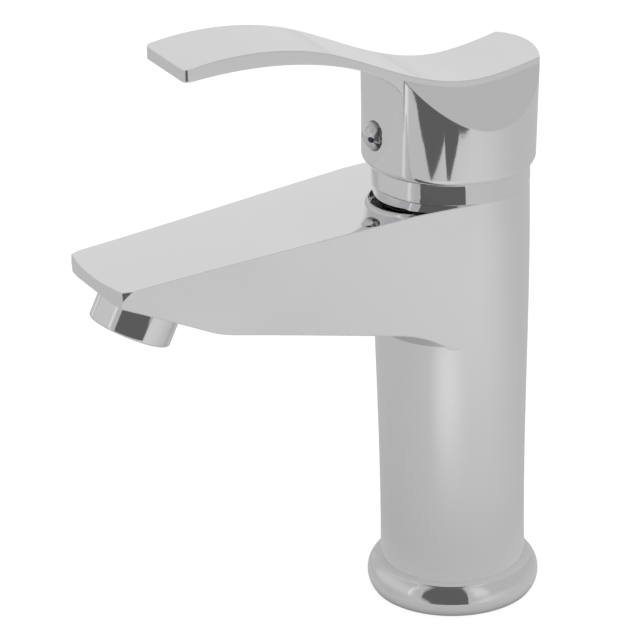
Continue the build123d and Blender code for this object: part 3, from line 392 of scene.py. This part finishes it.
def dressNodes():
    for entry in frame["record"]["subparts"]:
        mesh = nodes[entry["node"]].data
        mesh.materials.clear()
        mesh.materials.append(materials[ownFinish.get(entry["node"], finishOfSlot[entry["material_slot"]])])


dressNodes()
print("nodes dressed")


def makeMesh(name, points, faces):
    mesh = bpy.data.meshes.new(name)
    mesh.from_pydata(points, [], faces)
    piece = bpy.data.objects.new(name, mesh)
    scene.collection.objects.link(piece)
    return piece


# a turned piece: rings of a profile, each point put in place by the given rule
def makeTurned(name, profile, place):
    n = cap["steps"]
    turns = [2 * math.pi * k / n for k in range(n)]
    points = [place(r * math.cos(a), r * math.sin(a), h) for r, h in profile for a in turns]
    faces = [(i * n + k, (i + 1) * n + k, (i + 1) * n + (k + 1) % n, i * n + (k + 1) % n)
             for i in range(len(profile) - 1) for k in range(n)]
    last = (len(profile) - 1) * n
    faces += [tuple(range(n)), tuple(range(last + n - 1, last - 1, -1))]
    piece = makeMesh(name, points, faces)
    form = bmesh.new()
    form.from_mesh(piece.data)
    bmesh.ops.recalc_face_normals(form, faces=form.faces)
    form.to_mesh(piece.data)
    form.free()
    piece.data.shade_smooth()
    piece.data.set_sharp_from_angle(angle=math.radians(cap["crease"]))
    return piece


# hand a finished piece over: its material, its body, and hide the node that it takes the place of
def give(piece, finish, body, node):
    piece.data.materials.clear()
    piece.data.materials.append(materials[finish])
    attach(piece, body)
    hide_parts(node)


def makeCap():
    reach = [cap["radius"] * q / 12 for q in cap["rings"]]
    profile = [(r, capHeight(r)) for r in reach] + [(cap["radius"], -cap["depth"]), (reach[0], -cap["depth"])]
    give(makeTurned("indexDome", profile, onCap), "capChrome", "lever", "index_cap")
    for side, name, finish, slot, node in ((-1, "hotDot", "hotRed", "hot_red", "hot_mark"),
                                           (1, "coldDot", "coldBlue", "cold_blue", "cold_mark")):
        def onDome(across, up, lift):
            x, y = side * cap["markX"] + across, cap["markY"] + up
            return onCap(x, y, capHeight(math.hypot(x, y)) + lift)
        rings = [(share * cap["markRadius"], lift) for share, lift in cap["markProfile"]]
        give(makeTurned(name, rings, onDome), finish, "lever", node)


makeCap()
print("index cap made")

# woven wire screen in the aerator, in metres: two sets of wires that wave over and under each other
screen = {"centre": (0.0, -0.106445, 0.117525), "lean": 26.5, "Radius": 0.00645, "Wires": 17, "Pitch": 0.0008,
          "Wire Radius": 0.00014, "Wave": 0.00015, "Steps": 97, "Sides": 6}


def makeWeave():
    group = bpy.data.node_groups.new("wovenScreen", "GeometryNodeTree")
    sockets = {"Geometry": ("Geometry",), "Int": ("Wires", "Steps", "Sides"),
               "Float": ("Radius", "Pitch", "Wire Radius", "Wave"), "Vector": ("Turn", "Place"),
               "Material": ("Material",)}
    for kind, names in sockets.items():
        for name in names:
            group.interface.new_socket(name, in_out="INPUT", socket_type="NodeSocket" + kind)
    group.interface.new_socket("Geometry", in_out="OUTPUT", socket_type="NodeSocketGeometry")
    t = Tree(group)
    given, out = t.add("NodeGroupInput").outputs, t.add("NodeGroupOutput")
    # one field for both sets: height of the wave at a spot, turned over for the second set
    spot = t.split(t.add("GeometryNodeInputPosition").outputs["Position"])[:2]
    waves = [t.calc("COSINE", t.calc("DIVIDE", t.calc("MULTIPLY", q, math.pi), given["Pitch"])) for q in spot]
    lift = t.calc("MULTIPLY", t.calc("MULTIPLY", *waves), given["Wave"])
    reach = t.calc("SQRT", t.calc("ADD", *[t.calc("POWER", q, 2.0) for q in spot]))
    outside = t.calc("GREATER_THAN", reach, given["Radius"])
    gaps = t.calc("SUBTRACT", given["Wires"], 1)
    first = t.calc("MULTIPLY", t.calc("MULTIPLY", gaps, given["Pitch"]), -0.5)
    both = t.add("GeometryNodeJoinGeometry")
    for axis, other, side in (("X", "Y", 1.0), ("Y", "X", -1.0)):
        wire = t.add("GeometryNodeCurvePrimitiveLine")
        t.link(t.join(**{axis: t.calc("MULTIPLY", given["Radius"], -1.0)}), wire.inputs["Start"])
        t.link(t.join(**{axis: given["Radius"]}), wire.inputs["End"])
        steps = t.add("GeometryNodeResampleCurve")
        t.link(wire.outputs["Curve"], steps.inputs["Curve"])
        t.link(given["Steps"], steps.inputs["Count"])
        rows = t.add("GeometryNodeMeshLine")
        t.link(given["Wires"], rows.inputs["Count"])
        t.link(t.join(**{other: first}), rows.inputs["Start Location"])
        t.link(t.join(**{other: given["Pitch"]}), rows.inputs["Offset"])
        laid = t.add("GeometryNodeInstanceOnPoints")
        t.link(rows.outputs["Mesh"], laid.inputs["Points"])
        t.link(steps.outputs["Curve"], laid.inputs["Instance"])
        plain = t.add("GeometryNodeRealizeInstances")
        t.link(laid.outputs["Instances"], plain.inputs["Geometry"])
        cut = t.add("GeometryNodeDeleteGeometry", domain="POINT")
        t.link(plain.outputs["Geometry"], cut.inputs["Geometry"])
        t.link(outside, cut.inputs["Selection"])
        waved = t.add("GeometryNodeSetPosition")
        t.link(cut.outputs["Geometry"], waved.inputs["Geometry"])
        t.link(t.join(Z=t.calc("MULTIPLY", lift, side)), waved.inputs["Offset"])
        t.link(waved.outputs["Geometry"], both.inputs["Geometry"])
    profile = t.add("GeometryNodeCurvePrimitiveCircle")
    t.link(given["Sides"], profile.inputs["Resolution"])
    t.link(given["Wire Radius"], profile.inputs["Radius"])
    tube = t.add("GeometryNodeCurveToMesh", {"Fill Caps": True})
    smooth = t.add("GeometryNodeSetShadeSmooth")
    moved = t.add("GeometryNodeTransform")
    real = t.add("GeometryNodeRealizeInstances")
    dress = t.add("GeometryNodeSetMaterial")
    t.link(both.outputs["Geometry"], tube.inputs["Curve"])
    t.link(profile.outputs["Curve"], tube.inputs["Profile Curve"])
    t.link(tube.outputs["Mesh"], smooth.inputs["Geometry"])
    t.link(smooth.outputs["Geometry"], moved.inputs["Geometry"])
    t.link(given["Turn"], moved.inputs["Rotation"])
    t.link(given["Place"], moved.inputs["Translation"])
    t.link(moved.outputs["Geometry"], real.inputs["Geometry"])
    t.link(real.outputs["Geometry"], dress.inputs["Geometry"])
    t.link(given["Material"], dress.inputs["Material"])
    t.link(dress.outputs["Geometry"], out.inputs["Geometry"])
    return group


# run a Geometry Nodes tree on an empty piece and keep the plain mesh
def grow(name, group, values):
    piece = makeMesh(name, [], [])
    modifier = piece.modifiers.new(name, "NODES")
    modifier.node_group = group
    for socket in group.interface.items_tree:
        if socket.in_out == "INPUT" and socket.name in values:
            modifier[socket.identifier] = values[socket.name]
    view = bpy.context.evaluated_depsgraph_get()
    grown = bpy.data.meshes.new_from_object(piece.evaluated_get(view), depsgraph=view)
    piece.modifiers.clear()
    piece.data = grown
    return piece


def makeScreen():
    woven = grow("wovenScreen", makeWeave(), {**screen, "Place": screen["centre"],
                                              "Turn": (-math.radians(screen["lean"]), 0.0, 0.0),
                                              "Material": materials["steel"]})
    give(woven, "steel", "fixed", "aerator_screen")
    print("screen woven:", len(woven.data.polygons), "faces")


makeScreen()

# studio: pale floor, soft tent of light, open front with the camera in it
studio = {"floorSize": 3.0, "floorSeen": 0.15, "floorGlow": 0.86, "floorRough": 0.9, "floorSide": 0.37,
          "floorFar": 0.50, "farStart": -0.5, "farEnd": -1.0, "tentSeen": 1.45, "tentSide": 0.50, "tentBack": 0.73,
          "backStart": 0.75, "backEnd": 0.95, "tentLeft": 0.60, "leftStart": 0.3, "leftEnd": 0.9}
# painted pools of light on the floor, seen in the chrome
pools = [{"tone": 0.46, "spot": (0.13, 0.24), "reach": 0.42}, {"tone": 0.525, "spot": (-0.02, 0.17), "reach": 0.10},
         {"tone": 0.52, "spot": (0.0, 0.0), "reach": 0.075}]
# cards seen only in the chrome, in metres to the camera's right and towards it
openingTone = 0.115
uprights = [{"name": "openFront", "left": (-1.45, 1.6), "right": (0.55, 1.7), "low": 0.0, "high": 5.0,
             "tone": openingTone, "fade": 0.0},
            {"name": "leftLamp", "left": (-0.425, 0.22), "right": (-0.37, 0.262), "low": 0.0, "high": 1.0,
             "tone": 0.78, "fade": 0.4},
            {"name": "rightFill", "left": (0.60, 1.5), "right": (1.3, 1.05), "low": 0.2, "high": 2.2,
             "tone": 0.68, "fade": 0.3}]
flats = [{"name": "openFloor", "height": 0.001, "tone": openingTone,
          "edge": [(-1.45, 1.6), (-0.47, 0.28), (-0.35, 0.352), (-0.25, 0.37), (-0.163, 0.365), (-0.063, 0.438),
                   (-0.03, 0.395), (-0.006, 0.391), (0.076, 0.43), (0.18, 0.396), (0.153, 0.44), (0.165, 0.474),
                   (0.55, 1.7)]},
         {"name": "topLamp", "height": 2.2, "tone": 0.8,
          "edge": [(-0.4, -0.3), (0.4, -0.3), (0.4, 0.5), (-0.4, 0.5)]}]


# a point given from the camera's side: to its right, towards it, up
def fromCamera(right, front, up=0.0):
    a = math.radians(cameraSet["azimuth"])
    return (front * math.sin(a) + right * math.cos(a), right * math.sin(a) - front * math.cos(a), up)


def grey(tone):
    return (tone, tone, tone, 1)


def makeFloor(s):
    h = s["floorSize"]
    floor = makeMesh("floor", [(-h, -h, 0), (h, -h, 0), (h, h, 0), (-h, h, 0)], [(0, 1, 2, 3)])
    material = bpy.data.materials.new("paleFloor")
    material.use_nodes = True
    t = Tree(material.node_tree)
    shader = t.tree.nodes["Principled BSDF"]
    shader.inputs["Roughness"].default_value = s["floorRough"]
    shader.inputs["Specular IOR Level"].default_value = 0.0
    shader.inputs["Emission Strength"].default_value = 1.0
    place = t.place()
    front = t.vector("DOT_PRODUCT", place, fromCamera(0.0, 1.0))
    mirrored = t.ramp(front, s["farStart"], s["farEnd"], s["floorSide"], s["floorFar"], interpolation_type="SMOOTHSTEP")
    # painted pools of light, mixed into the tones seen in the chrome
    for q in pools:
        away = t.vector("DISTANCE", place, fromCamera(*q["spot"]))
        share = t.ramp(away, 0.0, q["reach"], 1.0, 0.0, interpolation_type="SMOOTHERSTEP")
        mirrored = t.mix("FLOAT", share, mirrored, q["tone"])
    # bright white to the eye, in the chrome its own grey tones with the painted pools of light
    path = t.add("ShaderNodeLightPath")
    seen = path.outputs["Is Camera Ray"]
    t.link(t.mix("RGBA", seen, mirrored, grey(s["floorSeen"])), shader.inputs["Base Color"])
    t.link(t.mix("RGBA", seen, grey(0.0), grey(s["floorGlow"])), shader.inputs["Emission Color"])
    # clear when looked at from below
    side, clear = t.add("ShaderNodeNewGeometry"), t.add("ShaderNodeBsdfTransparent")
    mix = t.add("ShaderNodeMixShader")
    t.link(t.calc("MULTIPLY", side.outputs["Backfacing"], seen), mix.inputs["Fac"])
    t.link(shader.outputs["BSDF"], mix.inputs[1])
    t.link(clear.outputs["BSDF"], mix.inputs[2])
    t.link(mix.outputs["Shader"], t.tree.nodes["Material Output"].inputs["Surface"])
    floor.data.materials.append(material)


def makeTent(s):
    world = bpy.data.worlds.new("tent")
    scene.world = world
    world.use_nodes = True
    t = Tree(world.node_tree)
    t.tree.nodes.clear()
    out = t.add("ShaderNodeOutputWorld")
    seen = t.add("ShaderNodeBackground", {"Color": (1, 1, 1, 1), "Strength": s["tentSeen"]})
    mirrored = t.add("ShaderNodeBackground")
    mix = t.add("ShaderNodeMixShader")
    path = t.add("ShaderNodeLightPath")
    way = t.add("ShaderNodeTexCoord").outputs["Generated"]
    e = math.radians(cameraSet["elevation"])
    behind = t.vector("DOT_PRODUCT", way, fromCamera(0.0, -math.cos(e), math.sin(e)))
    beside = t.vector("DOT_PRODUCT", way, fromCamera(-1.0, 0.0))
    back = t.ramp(behind, s["backStart"], s["backEnd"], s["tentSide"], s["tentBack"], interpolation_type="SMOOTHSTEP")
    left = t.ramp(beside, s["leftStart"], s["leftEnd"], 0.0, s["tentLeft"], interpolation_type="SMOOTHSTEP")
    t.link(t.calc("MAXIMUM", back, left), mirrored.inputs["Color"])
    t.link(path.outputs["Is Glossy Ray"], mix.inputs["Fac"])
    t.link(seen.outputs["Background"], mix.inputs[1])
    t.link(mirrored.outputs["Background"], mix.inputs[2])
    t.link(mix.outputs["Shader"], out.inputs["Surface"])


# a card that shows only in the chrome, with its full tone where share is 1 and clear where it is 0
def makeCard(name, points, faces, tone, shares):
    card = makeMesh(name, points, faces)
    share = card.data.attributes.new("share", "FLOAT", "POINT")
    share.data.foreach_set("value", shares)
    material = bpy.data.materials.new(name)
    material.use_nodes = True
    t = Tree(material.node_tree)
    t.tree.nodes.clear()
    out = t.add("ShaderNodeOutputMaterial")
    glow = t.add("ShaderNodeEmission", {"Color": (1, 1, 1, 1), "Strength": tone})
    clear, mix = t.add("ShaderNodeBsdfTransparent"), t.add("ShaderNodeMixShader")
    part = t.add("ShaderNodeAttribute", attribute_name="share")
    t.link(part.outputs["Fac"], mix.inputs["Fac"])
    t.link(clear.outputs["BSDF"], mix.inputs[1])
    t.link(glow.outputs["Emission"], mix.inputs[2])
    t.link(mix.outputs["Shader"], out.inputs["Surface"])
    card.data.materials.append(material)
    card.visible_camera = card.visible_diffuse = card.visible_shadow = False


# an upright card, faded over a share of its width at both sides
def makeUpright(s):
    fade = s["fade"]
    steps, shares = ([0.0, fade, 1.0 - fade, 1.0], [0.0, 1.0, 1.0, 0.0]) if fade else ([0.0, 1.0], [1.0, 1.0])
    columns = [Vector(s["left"]).lerp(Vector(s["right"]), q) for q in steps]
    points = [fromCamera(*c, h) for c in columns for h in (s["low"], s["high"])]
    faces = [(2 * i, 2 * i + 2, 2 * i + 3, 2 * i + 1) for i in range(len(steps) - 1)]
    makeCard(s["name"], points, faces, s["tone"], [q for q in shares for _ in range(2)])


def makeFlat(s):
    points = [fromCamera(*q, s["height"]) for q in s["edge"]]
    makeCard(s["name"], points, [tuple(range(len(points)))], s["tone"], [1.0] * len(points))


makeFloor(studio)
makeTent(studio)
for card in uprights:
    makeUpright(card)
for card in flats:
    makeFlat(card)
scene.view_settings.view_transform = "Standard"
print("studio set")
